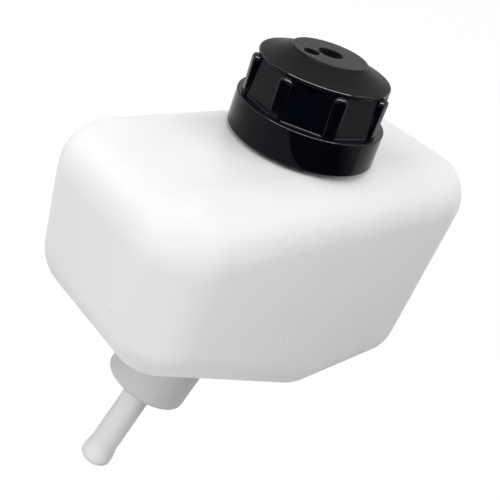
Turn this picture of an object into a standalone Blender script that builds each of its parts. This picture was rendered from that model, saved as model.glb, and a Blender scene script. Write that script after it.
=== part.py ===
"""Brake fluid reservoir: a moulded tank with a screw cap, an air bellows and a filler strainer.

Every piece is drawn round the filler neck: heights are measured from the tank's top face, X runs
along the tank and Y across it. An empty then carries that neck frame to the middle of the object.
"""
import math

import bmesh
import bpy
from mathutils import Matrix, Vector

MM = 0.001

# Tank
TANK_LEFT = 76.0 * MM            # neck axis to the left wall
TANK_RIGHT = 75.0 * MM           # neck axis to the right wall, at the top face
TANK_DEPTH = 74.0 * MM
LEFT_HEIGHT = 58.0 * MM          # top face down to the high end of the sloping floor
SUMP_HEIGHT = 95.0 * MM          # top face down to the level floor
SUMP_START = 5.0 * MM            # neck axis to the line where the floor becomes level
RIGHT_DRAFT = math.radians(3.5)  # lean of the right wall
CORNER_RADIUS = 18.0 * MM
TANK_WALL = 2.5 * MM

# Filler neck
NECK_BORE_RADIUS = 16.5 * MM
NECK_WALL = 2.5 * MM
NECK_HEIGHT = 21.0 * MM
THREAD_PITCH = 4.0 * MM
THREAD_DEPTH = 1.3 * MM
THREAD_TURNS = 1.75
THREAD_ROOT_WIDTH = 2.4 * MM
THREAD_CREST_WIDTH = 1.0 * MM
THREAD_FROM_RIM = 3.0 * MM       # neck rim down to the end of the thread
THREAD_SINK = 0.6 * MM           # how far the thread's root lies inside the neck's wall
STRAINER_SEAT_WIDTH = 1.1 * MM   # step in the bore that carries the strainer
STRAINER_SEAT_DEPTH = 2.0 * MM

# Outlet
OUTLET_OFFSET = 28.6 * MM        # neck axis to the outlet, along X, on the sloping floor
BOSS_RADIUS = 16.0 * MM
BOSS_LENGTH = 24.0 * MM
BOSS_EDGE_RADIUS = 2.2 * MM
BOSS_WALL = 2.8 * MM
SPIGOT_RADIUS = 5.4 * MM
SPIGOT_LENGTH = 37.5 * MM
SPIGOT_WALL = 2.1 * MM
SPIGOT_ROOT_FILLET = 1.2 * MM
BEAD_HEIGHT = 0.75 * MM          # how far the bead stands proud of the spigot
BEAD_LENGTH = 8.0 * MM
BEAD_END_RADIUS = 2.4 * MM

# Running clearances
SEAT_GAP = 0.3 * MM              # between faces that rest on each other
THREAD_CLEARANCE = 0.4 * MM
PLATE_CLEARANCE = 0.35 * MM
STRAINER_CLEARANCE = 0.5 * MM
BELLOWS_CLEARANCE = 1.0 * MM
CAP_FOOT_GAP = 1.2 * MM

# Screw cap
GRIP_WALL = 1.5 * MM
GRIP_DRAFT = 1.0 * MM            # how much wider the grip is at its foot
SKIRT_STEP = 2.8 * MM            # skirt's foot outside the grip's foot
SKIRT_HEIGHT = 11.4 * MM
SKIRT_FLARE = 0.35 * MM
SKIRT_WALL = 2.3 * MM
SEAT_WIDTH = 1.6 * MM            # ledge inside the cap that presses on the plate
CROWN_THICKNESS = 1.65 * MM      # from that ledge up to the crown's widest point
CROWN_OVERHANG = 0.25 * MM       # crown edge outside the top of the grip
CROWN_EDGE_RADIUS = 0.9 * MM
CROWN_UNDERCUT = math.radians(30)   # how far the crown's edge curls under
CONE_RISE = 4.25 * MM            # crown's widest point up to the top of the cone
TOP_STEP = 0.7 * MM              # height of the flat top above the cone
TOP_RADIUS = 12.7 * MM
TOP_THICKNESS = 2.2 * MM
RIB_COUNT = 8
RIB_WIDTH = 4.8 * MM
RIB_RELIEF = 1.0 * MM            # how far a rib stands out of the grip's foot
RIB_HEAD_DROP = 0.45 * MM        # crown's widest point down to the ribs' heads
RIB_ROUNDING = 1.3 * MM
RIB_SINK = 1.0 * MM              # how far a rib's root lies inside the grip
VENT_RADIUS = 4.2 * MM
SIDE_VENT_RADIUS = 2.7 * MM
SIDE_VENT_OFFSET = 7.9 * MM
CAP_CLOCKING = math.radians(171.0)  # where the side vent points when the cap is tight

# Slip plate
PLATE_THICKNESS = 1.5 * MM
PLATE_BORE_RADIUS = 8.5 * MM
PLATE_COLLAR_WALL = 1.2 * MM
PLATE_COLLAR_DEPTH = 2.4 * MM

# Bellows diaphragm
FLANGE_THICKNESS = 1.5 * MM
BELLOWS_WALL = 1.1 * MM
BELLOWS_FOLDS = 3
BELLOWS_FOLD_HEIGHT = 3.6 * MM
BELLOWS_FOLD_DEPTH = 1.9 * MM
BELLOWS_TAIL = 1.8 * MM          # last fold down to the floor of the cup

# Filler strainer
STRAINER_FLANGE_THICKNESS = 1.3 * MM
STRAINER_WALL = 1.2 * MM
STRAINER_DEPTH = 42.0 * MM
STRAINER_TAPER = 3.0 * MM        # how much narrower the basket is at its floor
SLOT_COUNT = 16
SLOT_ROWS = 2
SLOT_WIDTH = 1.6 * MM
SLOT_HEIGHT = 12.0 * MM
SLOT_PITCH = 16.0 * MM
SLOT_FLOOR_MARGIN = 4.0 * MM     # basket floor up to the lowest slots
SLOT_CLOCKING = math.radians(5.6)   # where the first slot stands

# Mesh fineness
ROUND_STEPS = 48
CORNER_STEPS = 8                 # steps in a quarter turn of the tank's rounded edges
FOLD_STEPS = 4                   # steps in one fold of the bellows
SMOOTH_ANGLE = math.radians(32)
ROOT_SINK = 1.2 * MM             # how far the neck and the boss run into the tank's wall
CUT_MARGIN = 5.0 * MM            # how far a cutter runs past the face that it opens
MERGE_DISTANCE = 0.001 * MM

# Worked out from the sizes above
NECK_ROOT_RADIUS = NECK_BORE_RADIUS + NECK_WALL
THREAD_CREST_RADIUS = NECK_ROOT_RADIUS + THREAD_DEPTH
CAP_BORE_RADIUS = THREAD_CREST_RADIUS + THREAD_CLEARANCE
GRIP_TOP_RADIUS = CAP_BORE_RADIUS + GRIP_WALL
GRIP_FOOT_RADIUS = GRIP_TOP_RADIUS + GRIP_DRAFT
SKIRT_FOOT_RADIUS = GRIP_FOOT_RADIUS + SKIRT_STEP
SKIRT_RIM_RADIUS = SKIRT_FOOT_RADIUS - SKIRT_FLARE
FLANGE_BASE = NECK_HEIGHT + SEAT_GAP
PLATE_BASE = FLANGE_BASE + FLANGE_THICKNESS + SEAT_GAP
CAP_SEAT = PLATE_BASE + PLATE_THICKNESS + SEAT_GAP
CROWN_EDGE = CAP_SEAT + CROWN_THICKNESS
CAP_TOP = CROWN_EDGE + CONE_RISE + TOP_STEP
SKIRT_RIM = CAP_FOOT_GAP + SKIRT_HEIGHT
FLOOR_SLOPE = math.atan2(SUMP_HEIGHT - LEFT_HEIGHT, TANK_LEFT + SUMP_START)


# Helpers

def clear_scene():
    """Take away whatever the file holds."""
    for obj in list(bpy.data.objects):
        bpy.data.objects.remove(obj, do_unlink=True)


def make_material(name, colour, roughness, transmission=0.0):
    """A plastic or rubber surface."""
    material = bpy.data.materials.new(name)
    material.use_nodes = True
    shader = material.node_tree.nodes["Principled BSDF"]
    shader.inputs["Base Color"].default_value = (*colour, 1.0)
    shader.inputs["Roughness"].default_value = roughness
    shader.inputs["Metallic"].default_value = 0.0
    shader.inputs["Transmission Weight"].default_value = transmission
    material.diffuse_color = (*colour, 1.0)
    return material


def make_object(name, mesh_data, material, carrier):
    """Turn a bmesh into a named object in the carrier's frame."""
    bmesh.ops.remove_doubles(mesh_data, verts=mesh_data.verts, dist=MERGE_DISTANCE)
    bmesh.ops.recalc_face_normals(mesh_data, faces=mesh_data.faces)
    mesh = bpy.data.meshes.new(name)
    mesh_data.to_mesh(mesh)
    mesh_data.free()
    mesh.shade_smooth()
    mesh.set_sharp_from_angle(angle=SMOOTH_ANGLE)
    mesh.materials.append(material)
    obj = bpy.data.objects.new(name, mesh)
    bpy.context.collection.objects.link(obj)
    obj.parent = carrier
    return obj


def make_cutter(name, mesh_data, carrier):
    """A helper shape that is only used by Boolean modifiers."""
    material = bpy.data.materials.get("helper") or make_material("helper", (0.5, 0.5, 0.5), 0.5)
    obj = make_object(name, mesh_data, material, carrier)
    obj.hide_render = True
    obj.display_type = "WIRE"
    return obj


def add_boolean(obj, operation, other):
    """Join or cut with another object, live."""
    modifier = obj.modifiers.new(f"{operation.lower()} {other.name}", "BOOLEAN")
    modifier.operation = operation
    modifier.solver = "EXACT"
    modifier.object = other


def arc(centre_radius, centre_height, radius, start, end, steps):
    """Points of a rounded edge in a turned profile, as (radius, height) pairs."""
    points = []
    for step in range(steps + 1):
        angle = start + (end - start) * step / steps
        points.append((centre_radius + radius * math.cos(angle), centre_height + radius * math.sin(angle)))
    return points


def turned(profile, closed, frame=Matrix.Identity(4)):
    """Spin a profile of (radius, height) points round the frame's Z axis."""
    mesh_data = bmesh.new()
    verts = [mesh_data.verts.new((radius, 0.0, height)) for radius, height in profile]
    edges = [mesh_data.edges.new(pair) for pair in zip(verts, verts[1:])]
    if closed:
        edges.append(mesh_data.edges.new((verts[-1], verts[0])))
    bmesh.ops.spin(mesh_data, geom=verts + edges, cent=(0, 0, 0), axis=(0, 0, 1),
                   angle=math.tau, steps=ROUND_STEPS, use_merge=True)
    bmesh.ops.remove_doubles(mesh_data, verts=mesh_data.verts, dist=MERGE_DISTANCE)
    bmesh.ops.transform(mesh_data, matrix=frame, verts=mesh_data.verts)
    return mesh_data


# Tank

def tank_corners():
    """The tank's side outline before its corners are rounded, clockwise from the top left."""
    right_foot = TANK_RIGHT - SUMP_HEIGHT * math.tan(RIGHT_DRAFT)
    return [Vector((-TANK_LEFT, 0.0)), Vector((TANK_RIGHT, 0.0)), Vector((right_foot, -SUMP_HEIGHT)),
            Vector((SUMP_START, -SUMP_HEIGHT)), Vector((-TANK_LEFT, -LEFT_HEIGHT))]


def corner_arcs():
    """For each corner, the centre of its rounding and the outward directions it sweeps through."""
    corners = tank_corners()
    arcs = []
    for index, corner in enumerate(corners):
        along_in = (corner - corners[index - 1]).normalized()
        along_out = (corners[(index + 1) % len(corners)] - corner).normalized()
        start = Vector((-along_in.y, along_in.x))
        end = Vector((-along_out.y, along_out.x))
        centre = corner - CORNER_RADIUS * (start + end) / (1.0 + start.dot(end))
        turn = start.angle(end)
        arcs.append((centre, math.atan2(start.y, start.x), turn))
    return arcs


def tank_outline(radius):
    """The rounded side outline, with its arcs at the given radius, as (x, z) points."""
    points = []
    for centre, start, turn in corner_arcs():
        steps = max(2, round(CORNER_STEPS * turn / math.radians(90)))
        for step in range(steps + 1):
            angle = start - turn * step / steps
            points.append((centre.x + radius * math.cos(angle), centre.y + radius * math.sin(angle)))
    return points


def rounded_box(radius):
    """The tank's outer form, or its hollow when the radius is less by the wall."""
    mesh_data = bmesh.new()
    half_flat = TANK_DEPTH / 2 - CORNER_RADIUS
    rings = []
    for side in (-1, 1):
        for step in range(CORNER_STEPS + 1):
            tilt = math.radians(90) * (CORNER_STEPS - step if side < 0 else step) / CORNER_STEPS
            y = side * (half_flat + radius * math.sin(tilt))
            outline = tank_outline(radius * math.cos(tilt))
            rings.append([mesh_data.verts.new((x, y, z)) for x, z in outline])
    mesh_data.faces.new(rings[0])
    mesh_data.faces.new(reversed(rings[-1]))
    count = len(rings[0])
    for near, far in zip(rings, rings[1:]):
        for index in range(count):
            after = (index + 1) % count
            mesh_data.faces.new((near[index], far[index], far[after], near[after]))
    bmesh.ops.dissolve_degenerate(mesh_data, dist=MERGE_DISTANCE, edges=mesh_data.edges)
    return mesh_data


def outlet_frame():
    """Frame of the boss and spigot: on the sloping floor, Z square to it and pointing out."""
    drop = (TANK_LEFT - OUTLET_OFFSET) * math.tan(FLOOR_SLOPE)
    origin = Vector((-OUTLET_OFFSET, 0.0, -LEFT_HEIGHT - drop))
    turn = Matrix.Rotation(math.pi + FLOOR_SLOPE, 4, "Y")
    return Matrix.Translation(origin) @ turn


def outlet_profile():
    """Boss, root fillet, spigot and end bead as one turned solid."""
    end = BOSS_LENGTH + SPIGOT_LENGTH
    bead_radius = SPIGOT_RADIUS + BEAD_HEIGHT
    root = BOSS_LENGTH + SPIGOT_ROOT_FILLET
    square = math.pi / 2
    points = [(0.0, -ROOT_SINK), (BOSS_RADIUS, -ROOT_SINK)]
    points += arc(BOSS_RADIUS - BOSS_EDGE_RADIUS, BOSS_LENGTH - BOSS_EDGE_RADIUS, BOSS_EDGE_RADIUS,
                  0, square, 4)
    points += arc(SPIGOT_RADIUS + SPIGOT_ROOT_FILLET, root, SPIGOT_ROOT_FILLET, 3 * square, 2 * square, 3)
    points += [(SPIGOT_RADIUS, end - BEAD_LENGTH), (bead_radius, end - BEAD_LENGTH / 2)]
    points += arc(bead_radius - BEAD_END_RADIUS, end - BEAD_END_RADIUS, BEAD_END_RADIUS, 0, square, 4)
    points += [(0.0, end)]
    return points


def outlet_hollow():
    """Hollow of the boss and bore of the spigot."""
    end = BOSS_LENGTH + SPIGOT_LENGTH
    bore = SPIGOT_RADIUS - SPIGOT_WALL
    pocket = BOSS_RADIUS - BOSS_WALL
    floor = BOSS_LENGTH - BOSS_WALL
    return [(0.0, -CUT_MARGIN), (pocket, -CUT_MARGIN), (pocket, floor), (bore, floor),
            (bore, end + CUT_MARGIN), (0.0, end + CUT_MARGIN)]


def neck_thread(frame_height):
    """A helical ridge that fades in and out at its two ends and sinks into the neck's wall."""
    mesh_data = bmesh.new()
    steps = round(ROUND_STEPS * THREAD_TURNS)
    fade = ROUND_STEPS // 8
    root = NECK_ROOT_RADIUS - THREAD_SINK
    rings = []
    for step in range(steps + 1):
        angle = math.tau * (step + 0.5) / ROUND_STEPS
        height = frame_height - THREAD_PITCH * (THREAD_TURNS - step / ROUND_STEPS)
        share = min(1.0, (step + 1) / fade, (steps - step + 1) / fade)
        crest = NECK_ROOT_RADIUS + THREAD_DEPTH * share
        section = [(root, -THREAD_ROOT_WIDTH / 2), (crest, -THREAD_CREST_WIDTH / 2),
                   (crest, THREAD_CREST_WIDTH / 2), (root, THREAD_ROOT_WIDTH / 2)]
        outward = Vector((math.cos(angle), math.sin(angle), 0.0))
        rings.append([mesh_data.verts.new(outward * radius + Vector((0.0, 0.0, height + offset)))
                      for radius, offset in section])
    mesh_data.faces.new(rings[0])
    mesh_data.faces.new(reversed(rings[-1]))
    for low, high in zip(rings, rings[1:]):
        for index in range(len(low)):
            after = (index + 1) % len(low)
            mesh_data.faces.new((low[index], high[index], high[after], low[after]))
    return mesh_data


def build_tank(carrier, plastic):
    """Tank, neck, boss and spigot: one moulding, hollow all through."""
    tank = make_object("reservoir_tank", rounded_box(CORNER_RADIUS), plastic, carrier)
    seat_radius = NECK_BORE_RADIUS + STRAINER_SEAT_WIDTH
    seat_height = NECK_HEIGHT - STRAINER_SEAT_DEPTH
    past_rim = NECK_HEIGHT + CUT_MARGIN
    neck = [(0.0, -ROOT_SINK), (NECK_ROOT_RADIUS, -ROOT_SINK),
            (NECK_ROOT_RADIUS, NECK_HEIGHT), (0.0, NECK_HEIGHT)]
    bore = [(0.0, -CUT_MARGIN), (NECK_BORE_RADIUS, -CUT_MARGIN), (NECK_BORE_RADIUS, seat_height),
            (seat_radius, seat_height), (seat_radius, past_rim), (0.0, past_rim)]
    frame = outlet_frame()
    thread = neck_thread(NECK_HEIGHT - THREAD_FROM_RIM)
    add_boolean(tank, "UNION", make_cutter("neck_form", turned(neck, False), carrier))
    add_boolean(tank, "UNION", make_cutter("thread_form", thread, carrier))
    outlet = turned(outlet_profile(), False, frame)
    add_boolean(tank, "UNION", make_cutter("outlet_form", outlet, carrier))
    hollow = rounded_box(CORNER_RADIUS - TANK_WALL)
    add_boolean(tank, "DIFFERENCE", make_cutter("tank_hollow", hollow, carrier))
    add_boolean(tank, "DIFFERENCE", make_cutter("neck_bore", turned(bore, False), carrier))
    outlet_bore = turned(outlet_hollow(), False, frame)
    add_boolean(tank, "DIFFERENCE", make_cutter("outlet_bore", outlet_bore, carrier))
    return tank


# Filler strainer

def strainer_levels():
    """Underside of the flange, and floor of the basket."""
    flange_base = NECK_HEIGHT - STRAINER_SEAT_DEPTH + SEAT_GAP
    return flange_base, flange_base - STRAINER_DEPTH


def basket_radius(height):
    """Outer radius of the tapered basket at a height."""
    flange_base, floor = strainer_levels()
    share = (flange_base - height) / (flange_base - floor)
    return NECK_BORE_RADIUS - STRAINER_CLEARANCE - STRAINER_TAPER * share


def slot_boxes():
    """Upright slots through the basket's wall, in level rows."""
    mesh_data = bmesh.new()
    floor = strainer_levels()[1]
    for row in range(SLOT_ROWS):
        height = floor + SLOT_FLOOR_MARGIN + SLOT_HEIGHT / 2 + row * SLOT_PITCH
        for index in range(SLOT_COUNT):
            turn = Matrix.Rotation(math.tau * index / SLOT_COUNT + SLOT_CLOCKING, 4, "Z")
            middle = basket_radius(height) - STRAINER_WALL / 2
            place = turn @ Matrix.Translation((middle, 0.0, height))
            size = Matrix.Diagonal((CUT_MARGIN, SLOT_WIDTH, SLOT_HEIGHT, 1.0))
            bmesh.ops.create_cube(mesh_data, size=1.0, matrix=place @ size)
    return mesh_data


def build_strainer(carrier, plastic):
    """A basket that hangs by its flange from the step in the neck's bore."""
    flange_base, floor = strainer_levels()
    flange_top = flange_base + STRAINER_FLANGE_THICKNESS
    flange_radius = NECK_BORE_RADIUS + STRAINER_SEAT_WIDTH - SEAT_GAP
    top_radius = basket_radius(flange_base)
    foot_radius = basket_radius(floor)
    profile = [(0.0, floor), (foot_radius, floor), (top_radius, flange_base), (flange_radius, flange_base),
               (flange_radius, flange_top), (top_radius - STRAINER_WALL, flange_top),
               (foot_radius - STRAINER_WALL, floor + STRAINER_WALL), (0.0, floor + STRAINER_WALL)]
    strainer = make_object("filler_strainer", turned(profile, False), plastic, carrier)
    add_boolean(strainer, "DIFFERENCE", make_cutter("strainer_slots", slot_boxes(), carrier))
    return strainer


# Bellows diaphragm

def bellows_floor():
    """Height of the cup's underside."""
    return FLANGE_BASE - BELLOWS_FOLDS * BELLOWS_FOLD_HEIGHT - BELLOWS_TAIL


def bellows_ridge():
    """Outer radius of the folds, set by the basket at the cup's floor, where it is narrowest."""
    return basket_radius(bellows_floor()) - STRAINER_WALL - BELLOWS_CLEARANCE


def bellows_side():
    """Outside of the folded wall from the flange down, as (radius, height) pairs."""
    points = []
    for step in range(BELLOWS_FOLDS * FOLD_STEPS + 1):
        share = step / FOLD_STEPS
        inset = BELLOWS_FOLD_DEPTH * (1 - math.cos(math.tau * share)) / 2
        points.append((bellows_ridge() - inset, FLANGE_BASE - share * BELLOWS_FOLD_HEIGHT))
    return points


def build_bellows(carrier, rubber):
    """A rubber cup with folded sides, open to the cap and closed to the fluid."""
    ridge = bellows_ridge()
    floor = bellows_floor()
    flange_top = FLANGE_BASE + FLANGE_THICKNESS
    side = bellows_side()
    lining = [(radius - BELLOWS_WALL, height) for radius, height in side[1:]]
    inner = ridge - BELLOWS_WALL
    profile = [(0.0, floor), (inner, floor), (ridge, floor + BELLOWS_WALL)] + side[::-1]
    profile += [(NECK_ROOT_RADIUS, FLANGE_BASE), (NECK_ROOT_RADIUS, flange_top), (inner, flange_top)]
    profile += lining + [(inner, floor + BELLOWS_WALL), (0.0, floor + BELLOWS_WALL)]
    return make_object("bellows_diaphragm", turned(profile, False), rubber, carrier)


# Slip plate

def build_plate(carrier, plastic):
    """A ring under the cap's seat, with a collar that centres it in the bellows."""
    rim = CAP_BORE_RADIUS - PLATE_CLEARANCE
    top = PLATE_BASE + PLATE_THICKNESS
    collar = PLATE_BORE_RADIUS + PLATE_COLLAR_WALL
    foot = PLATE_BASE - PLATE_COLLAR_DEPTH
    profile = [(PLATE_BORE_RADIUS, top), (rim, top), (rim, PLATE_BASE), (collar, PLATE_BASE),
               (collar, foot), (PLATE_BORE_RADIUS, foot)]
    return make_object("slip_plate", turned(profile, True), plastic, carrier)


# Screw cap

def cap_profile():
    """Section of the cap, from the vent's upper edge out, down, and back up inside."""
    skirt_bore = SKIRT_RIM_RADIUS - SKIRT_WALL
    ledge = SKIRT_RIM - SKIRT_WALL
    roof = CAP_TOP - TOP_THICKNESS
    crown_centre = GRIP_TOP_RADIUS + CROWN_OVERHANG - CROWN_EDGE_RADIUS
    cone_head = CAP_TOP - TOP_STEP
    cone_lean = math.atan2(crown_centre - TOP_RADIUS, CONE_RISE - CROWN_EDGE_RADIUS)
    points = [(VENT_RADIUS, CAP_TOP), (TOP_RADIUS, CAP_TOP), (TOP_RADIUS + TOP_STEP / 2, cone_head)]
    points += arc(crown_centre, CROWN_EDGE, CROWN_EDGE_RADIUS, cone_lean, -CROWN_UNDERCUT, 4)
    points += [(GRIP_TOP_RADIUS, CROWN_EDGE - CROWN_EDGE_RADIUS), (GRIP_FOOT_RADIUS, SKIRT_RIM)]
    points += [(SKIRT_RIM_RADIUS, SKIRT_RIM), (SKIRT_FOOT_RADIUS, CAP_FOOT_GAP), (skirt_bore, CAP_FOOT_GAP)]
    points += [(skirt_bore, ledge), (CAP_BORE_RADIUS, ledge), (CAP_BORE_RADIUS, CAP_SEAT)]
    points += [(CAP_BORE_RADIUS - SEAT_WIDTH, CAP_SEAT), (TOP_RADIUS, roof), (VENT_RADIUS, roof)]
    return points


def rib_bars():
    """The grip's ribs: upright bars with rounded outer edges and tops."""
    mesh_data = bmesh.new()
    foot = SKIRT_RIM - RIB_SINK
    head = CROWN_EDGE - RIB_HEAD_DROP
    crest = GRIP_FOOT_RADIUS + RIB_RELIEF
    root = GRIP_TOP_RADIUS - RIB_SINK
    size = Matrix.Diagonal((crest - root, RIB_WIDTH, head - foot, 1.0))
    place = Matrix.Translation(((crest + root) / 2, 0.0, (head + foot) / 2))
    bmesh.ops.create_cube(mesh_data, size=1.0, matrix=place @ size)
    rounded = [edge for edge in mesh_data.edges
               if all(vert.co.x > (crest + root) / 2 for vert in edge.verts)
               and any(vert.co.z > (head + foot) / 2 for vert in edge.verts)]
    bmesh.ops.bevel(mesh_data, geom=rounded, offset=RIB_ROUNDING, offset_type="OFFSET", segments=4,
                    profile=0.5, affect="EDGES", clamp_overlap=True)
    first = list(mesh_data.verts) + list(mesh_data.edges) + list(mesh_data.faces)
    start = Matrix.Rotation(math.pi / RIB_COUNT, 3, "Z")
    bmesh.ops.rotate(mesh_data, verts=mesh_data.verts, cent=(0, 0, 0), matrix=start)
    for index in range(1, RIB_COUNT):
        copy = bmesh.ops.duplicate(mesh_data, geom=first)
        verts = [item for item in copy["geom"] if isinstance(item, bmesh.types.BMVert)]
        turn = Matrix.Rotation(math.tau * index / RIB_COUNT, 3, "Z")
        bmesh.ops.rotate(mesh_data, verts=verts, cent=(0, 0, 0), matrix=turn)
    return mesh_data


def side_vent():
    """A plain drill for the smaller hole in the cap's top."""
    mesh_data = bmesh.new()
    middle = CAP_TOP - TOP_THICKNESS / 2
    bmesh.ops.create_cone(mesh_data, cap_ends=True, segments=24, radius1=SIDE_VENT_RADIUS,
                          radius2=SIDE_VENT_RADIUS, depth=TOP_THICKNESS + CUT_MARGIN,
                          matrix=Matrix.Translation((SIDE_VENT_OFFSET, 0.0, middle)))
    return mesh_data


def build_cap(carrier, plastic):
    """The screw cap, turned to where its thread stops."""
    cap = make_object("screw_cap", turned(cap_profile(), True), plastic, carrier)
    cap.rotation_euler.z = CAP_CLOCKING
    add_boolean(cap, "UNION", make_cutter("rib_form", rib_bars(), cap))
    add_boolean(cap, "DIFFERENCE", make_cutter("side_vent", side_vent(), cap))
    return cap


# Assembly

def middle_of_object():
    """Centre of the object's box, in the neck frame."""
    across = [x for x, z in tank_outline(CORNER_RADIUS)]
    upright, level = math.cos(FLOOR_SLOPE), math.sin(FLOOR_SLOPE)
    reach = max(height * upright + radius * level for radius, height in outlet_profile())
    lowest = outlet_frame().translation.z - reach
    return Vector(((min(across) + max(across)) / 2, 0.0, (CAP_TOP + lowest) / 2))


def main():
    """Build every piece round the neck, then carry the neck frame to its place."""
    clear_scene()
    carrier = bpy.data.objects.new("neck_frame", None)
    bpy.context.collection.objects.link(carrier)
    carrier.location = -middle_of_object()
    natural = make_material("natural_plastic", (0.86, 0.87, 0.88), 0.42, 0.15)
    nylon = make_material("strainer_nylon", (0.78, 0.79, 0.76), 0.5)
    rubber = make_material("diaphragm_rubber", (0.03, 0.03, 0.032), 0.75)
    plate_plastic = make_material("plate_plastic", (0.05, 0.05, 0.055), 0.5)
    black = make_material("cap_plastic", (0.018, 0.018, 0.02), 0.3)
    build_tank(carrier, natural)
    build_strainer(carrier, nylon)
    build_bellows(carrier, rubber)
    build_plate(carrier, plate_plastic)
    build_cap(carrier, black)


main()
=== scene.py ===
"""Brake fluid reservoir, dressed: a white moulded tank with a black screw cap in soft studio light.

Every piece is modelled round the filler neck. In that neck frame the height is zero on the tank's
top face, X runs along the tank and Z along the neck. Piece.dress then moves it to its packed place.
"""
import logging
import math
from dataclasses import dataclass
from enum import Enum
from typing import Callable, Iterable, Sequence

import bpy
from mathutils import Matrix, Vector


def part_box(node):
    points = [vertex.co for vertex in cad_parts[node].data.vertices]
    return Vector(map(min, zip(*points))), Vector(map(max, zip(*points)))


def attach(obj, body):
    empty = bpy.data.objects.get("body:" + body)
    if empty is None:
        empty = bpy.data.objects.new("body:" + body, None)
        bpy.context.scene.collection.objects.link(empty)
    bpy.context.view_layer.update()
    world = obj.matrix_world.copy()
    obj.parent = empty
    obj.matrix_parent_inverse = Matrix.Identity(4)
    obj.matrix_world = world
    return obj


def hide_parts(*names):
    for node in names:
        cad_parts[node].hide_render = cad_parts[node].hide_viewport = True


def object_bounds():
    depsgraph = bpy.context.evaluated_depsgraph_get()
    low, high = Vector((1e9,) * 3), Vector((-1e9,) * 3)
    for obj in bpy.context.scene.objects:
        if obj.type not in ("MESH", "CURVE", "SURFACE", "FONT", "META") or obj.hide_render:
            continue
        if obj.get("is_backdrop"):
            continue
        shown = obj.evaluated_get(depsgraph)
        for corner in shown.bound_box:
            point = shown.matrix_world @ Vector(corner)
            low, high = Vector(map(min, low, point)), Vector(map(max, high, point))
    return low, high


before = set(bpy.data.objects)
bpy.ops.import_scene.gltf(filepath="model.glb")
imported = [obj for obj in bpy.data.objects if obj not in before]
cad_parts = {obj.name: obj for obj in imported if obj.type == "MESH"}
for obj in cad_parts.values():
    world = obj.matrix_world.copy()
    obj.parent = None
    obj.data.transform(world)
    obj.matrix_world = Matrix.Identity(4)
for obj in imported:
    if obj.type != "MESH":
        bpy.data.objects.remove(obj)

LOG = logging.getLogger("reservoir")

MM = 0.001
NECK_HEIGHT = 21.0 * MM  # tank's top face up to the neck's rim
THREAD_PITCH = 4.0 * MM
MERGE_DISTANCE = 0.002 * MM
SPARE = 0.05 * MM  # slack where a rounding or a test just reaches its measure
CUT_MARGIN = 5.0 * MM  # how far a cutter runs past the face that it opens
ARC_STEP = math.radians(7)  # fineness of a rounded edge
SMOOTH_ANGLE = math.radians(30)
ROUND_STEPS = 128  # fineness of a turned piece
SQUARE = math.radians(90)
NOISE_LOW = 0.3  # nearly all of a noise's values lie between these two
NOISE_HIGH = 0.7
WHITE = (1.0, 1.0, 1.0, 1.0)
BLACK = (0.0, 0.0, 0.0, 1.0)

Point = tuple[float, float]
Bend = tuple[float, ...]  # (across, up), or (across, up, radius) where it is rounded
Colour = tuple[float, float, float]
Shape = bpy.types.Object
Socket = bpy.types.NodeSocket
Test = Callable[[Vector, Vector], bool]


class Body(Enum):
    """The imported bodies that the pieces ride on."""

    TANK = "tank"
    BELLOWS = "bellows"
    PLATE = "plate"
    CAP = "cap"


class Join(Enum):
    """Ways to combine two closed shapes."""

    ADD = "UNION"
    CUT = "DIFFERENCE"


# Outlines

def rounded(outline: Sequence[Bend], closed: bool = False, step: float = ARC_STEP) -> list[Point]:
    """Give the points of an outline with its corners rounded by true arcs.

    Args:
        outline: its corners in order, as (across, up) or (across, up, radius).
        closed: whether the last corner joins the first, which is then repeated at the end.
        step: the angle that one stretch of an arc turns through at most.

    Returns:
        The outline as (across, up) pairs.
    """
    points: list[Point] = []
    corners = [Vector(bend[:2]) for bend in outline]
    for index, (here, bend) in enumerate(zip(corners, outline)):
        is_end = not closed and index in (0, len(corners) - 1)
        if is_end or len(bend) == 2:
            points.append((here.x, here.y))
            continue
        radius = bend[2]
        back = (corners[index - 1] - here).normalized()
        ahead = (corners[(index + 1) % len(corners)] - here).normalized()
        turn = math.pi - back.angle(ahead)
        centre = here + (back + ahead).normalized() * radius / math.cos(turn / 2)
        start = here + back * radius * math.tan(turn / 2) - centre
        first = math.atan2(start.y, start.x)
        sign = 1.0 if back.x * ahead.y - back.y * ahead.x < 0.0 else -1.0
        steps = max(2, math.ceil(turn / step))
        for stride in range(steps + 1):
            angle = first + sign * turn * stride / steps
            points.append((centre.x + radius * math.cos(angle), centre.y + radius * math.sin(angle)))
    if closed:
        points.append(points[0])
    return points


# Modelling steps

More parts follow.
